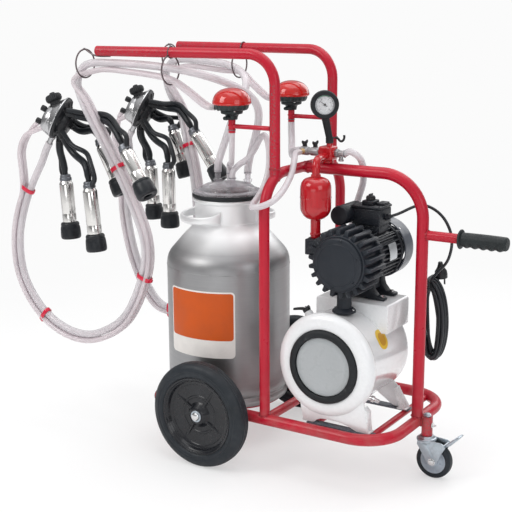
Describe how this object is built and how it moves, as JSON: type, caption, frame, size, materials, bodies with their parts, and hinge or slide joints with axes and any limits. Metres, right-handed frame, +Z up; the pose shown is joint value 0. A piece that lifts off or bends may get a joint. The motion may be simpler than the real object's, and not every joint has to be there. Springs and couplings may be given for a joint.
{
  "type": "portable milking machine",
  "caption": "Portable bucket milking machine: tube trolley with milk can, vacuum tank, motor-driven pump, gauge, pulsators and two hanging teat-cup clusters.",
  "frame": {"origin": "on the floor, under the middle of the whole machine's box", "axes": "+X towards the handle and castor end, +Y to the far side with the fan cover, +Z up"},
  "size_m": [1.4948, 0.602, 1.146],
  "materials": {
    "frame_paint": "satin crimson powder coat",
    "red_enamel": "glossy red enamel",
    "pulsator_red": "glossy red moulding",
    "pulsator_dark": "satin dark grey-green moulding",
    "can_alu": "satin, finely brushed",
    "lid_clear": "clear polycarbonate",
    "stainless": "polished",
    "zinc": "zinc plated",
    "steel": "machined",
    "rubber": "matt black",
    "grip": "moulded, satin",
    "tyre": "satin blue-black",
    "wheel_plastic": "satin black",
    "castor_grey": "grey hub, dark tread",
    "white_enamel": "glossy white enamel",
    "cap_grey": "satin grey",
    "slate": "painted dark slate",
    "plastic_black": "satin black",
    "hose_clear": "clear vinyl hose",
    "cable": "black cable jacket"
  },
  "bodies": {
    "root": {"axle_bolt_far": "zinc", "axle_bolt_near": "zinc", "can_body": "can_alu", "castor_stem": "zinc", "claw_body_far": "stainless", "claw_body_near": "stainless", "fan_cover": "plastic_black", "frame": "frame_paint", "gauge_case": "rubber", "handle_grip": "grip", "liner_far_1": "rubber", "liner_far_2": "rubber", "liner_far_3": "rubber", "liner_far_4": "rubber", "liner_near_1": "rubber", "liner_near_2": "rubber", "liner_near_3": "rubber", "liner_near_4": "rubber", "manifold": "red_enamel", "milk_hose_far": "hose_clear", "milk_hose_near": "hose_clear", "motor_body": "slate", "power_cable": "cable", "pulsator_base_far": "pulsator_dark", "pulsator_base_near": "pulsator_dark", "pulsator_cap_far": "pulsator_red", "pulsator_cap_near": "pulsator_red", "pump_body": "slate", "pump_cover": "slate", "tank_cover": "cap_grey", "tank_seal": "rubber", "tank_shell": "white_enamel", "teat_shell_far_1": "stainless", "teat_shell_far_2": "stainless", "teat_shell_far_3": "stainless", "teat_shell_far_4": "stainless", "teat_shell_near_1": "stainless", "teat_shell_near_2": "stainless", "teat_shell_near_3": "stainless", "teat_shell_near_4": "stainless", "terminal_box": "plastic_black", "vacuum_hose": "hose_clear", "vacuum_trap": "red_enamel"},
    "lid": {"can_lid": "lid_clear", "lid_gasket": "rubber"},
    "wheel_near": {"wheel_near": "wheel_plastic", "tyre_near": "tyre"},
    "wheel_far": {"wheel_far": "wheel_plastic", "tyre_far": "tyre"},
    "castor_fork": {"castor_fork": "zinc"},
    "castor_wheel": {"castor_wheel": "castor_grey"},
    "castor_brake": {"castor_brake": "zinc"},
    "rotor": {"rotor_shaft": "steel"},
    "gauge_needle": {"gauge_needle": "plastic_black"},
    "tap_left": {"tap_lever_left": "plastic_black"},
    "tap_right": {"tap_lever_right": "plastic_black"},
    "switch_knob": {"switch_knob": "plastic_black"},
    "tank_tap": {"tank_tap_lever": "plastic_black"},
    "claw_valve_near": {"claw_valve_near": "rubber"},
    "claw_valve_far": {"claw_valve_far": "rubber"}
  },
  "joints": [
    {"name": "lid_lift", "type": "slide", "parent": "root", "child": "lid", "axis": [0, 0, 1], "range_m": [0, 0.07], "deforming": ["milk_hose_near", "milk_hose_far", "vacuum_hose"]},
    {"name": "wheel_near_roll", "type": "hinge", "parent": "root", "child": "wheel_near", "pos_m": [-0.01555, -0.2703, 0.15], "axis": [0, 1, 0], "continuous": true},
    {"name": "wheel_far_roll", "type": "hinge", "parent": "root", "child": "wheel_far", "pos_m": [-0.01555, 0.2703, 0.15], "axis": [0, 1, 0], "continuous": true},
    {"name": "castor_swivel", "type": "hinge", "parent": "root", "child": "castor_fork", "pos_m": [0.54525, 0, 0.11], "axis": [0, 0, 1], "continuous": true},
    {"name": "castor_roll", "type": "hinge", "parent": "castor_fork", "child": "castor_wheel", "pos_m": [0.56975, 0, 0.05], "axis": [0, 1, 0], "continuous": true},
    {"name": "castor_brake_press", "type": "hinge", "parent": "castor_fork", "child": "castor_brake", "pos_m": [0.60175, 0, 0.099], "axis": [0, 1, 0], "range_deg": [0, 18]},
    {"name": "pump_spin", "type": "hinge", "parent": "root", "child": "rotor", "pos_m": [0.33975, 0, 0.594], "axis": [0, 1, 0], "continuous": true},
    {"name": "gauge_needle_turn", "type": "hinge", "parent": "root", "child": "gauge_needle", "pos_m": [0.23571, -0.02813, 0.996], "axis": [0.5422, -0.8402, 0], "range_deg": [-187, 83]},
    {"name": "tap_left_turn", "type": "hinge", "parent": "root", "child": "tap_left", "pos_m": [0.15875, 0, 0.88], "axis": [0, 0, 1], "range_deg": [0, 90]},
    {"name": "tap_right_turn", "type": "hinge", "parent": "root", "child": "tap_right", "pos_m": [0.19175, 0, 0.88], "axis": [0, 0, 1], "range_deg": [0, 90]},
    {"name": "switch_turn", "type": "hinge", "parent": "root", "child": "switch_knob", "pos_m": [0.34475, 0.036, 0.7401], "axis": [0, 0, 1], "range_deg": [0, 90]},
    {"name": "tank_tap_turn", "type": "hinge", "parent": "root", "child": "tank_tap", "pos_m": [0.22675, -0.098, 0.441], "axis": [-0.6097, 0, 0.7926], "range_deg": [0, 90]},
    {"name": "claw_valve_near_pull", "type": "slide", "parent": "root", "child": "claw_valve_near", "axis": [-0.4202, 0, 0.9074], "range_m": [0, 0.008]},
    {"name": "claw_valve_far_pull", "type": "slide", "parent": "root", "child": "claw_valve_far", "axis": [-0.4202, 0, 0.9074], "range_m": [0, 0.008]}
  ]
}
